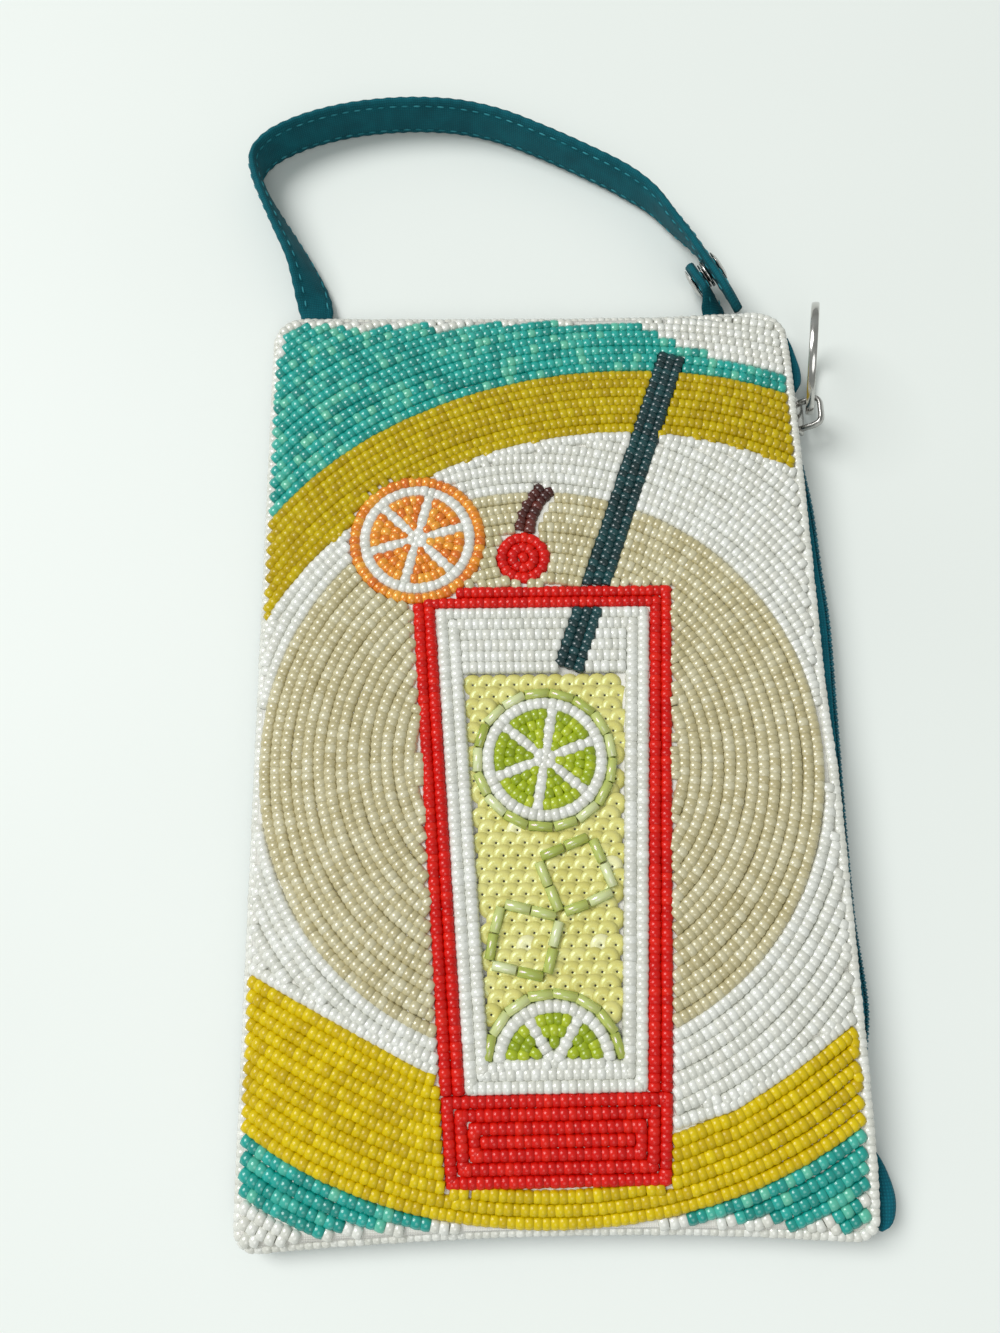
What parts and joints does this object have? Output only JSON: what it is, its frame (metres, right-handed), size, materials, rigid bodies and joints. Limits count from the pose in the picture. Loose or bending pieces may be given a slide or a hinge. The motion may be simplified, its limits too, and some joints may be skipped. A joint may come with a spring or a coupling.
{
  "type": "beaded wristlet pouch",
  "caption": "Flat rectangular wristlet pouch lying on its back: bead-covered front with a tall drink on a disc and curved bands, cloth back, side zip with a pull ring, cloth wrist strap closed by a press stud.",
  "frame": {"origin": "Under the middle of the bag, on the flat underside of its back panel, which lies on the surface.", "axes": "+Z out of the beaded front, +Y along the bag towards the strap, +X towards the zip side."},
  "size_m": [0.1225, 0.233, 0.0223],
  "materials": {
    "ground_cloth": "plain woven ground under the beads",
    "cream_beads": "pearly seed beads",
    "white_beads": "pearly seed beads",
    "yellow_beads": "opaque glossy seed beads",
    "teal_beads": "lustred transparent seed beads",
    "red_beads": "opaque glossy seed beads",
    "drink_beads": "pale beads and sequins",
    "teal_cloth": "plain weave, top-stitched",
    "zip_tape": "woven zip tape",
    "zip_coil": "nylon coil",
    "nickel": "nickel plate, a little worn"
  },
  "bodies": {
    "bag": {"front_panel": "ground_cloth", "bead_disc": "cream_beads", "bead_white_upper": "white_beads", "bead_white_lower_left": "white_beads", "bead_white_lower_right": "white_beads", "bead_yellow_upper": "yellow_beads", "bead_yellow_lower": "yellow_beads", "bead_teal_upper": "teal_beads", "bead_teal_lower_left": "teal_beads", "bead_teal_lower_right": "teal_beads", "bead_corner_upper_right": "white_beads", "bead_corner_lower_left": "white_beads", "bead_glass": "red_beads", "bead_drink": "drink_beads", "bead_edging": "white_beads", "back_panel": "teal_cloth", "zip_tape_front": "zip_tape", "zip_tape_back": "zip_tape", "zip_top_end": "zip_tape", "zip_bottom_end": "zip_tape", "zip_coil": "zip_coil", "zip_coil_end": "zip_coil", "zip_slider": "nickel", "strap": "teal_cloth", "strap_tab": "teal_cloth", "snap_stud": "nickel", "snap_socket": "nickel"},
    "pull": {"pull_ring": "nickel"}
  },
  "joints": [
    {"name": "pull_ring_swing", "type": "hinge", "parent": "bag", "child": "pull", "pos_m": [0.05681, 0.065, 0.0066], "axis": [0.2588, 0, -0.9659], "range_deg": [0, 155]}
  ]
}
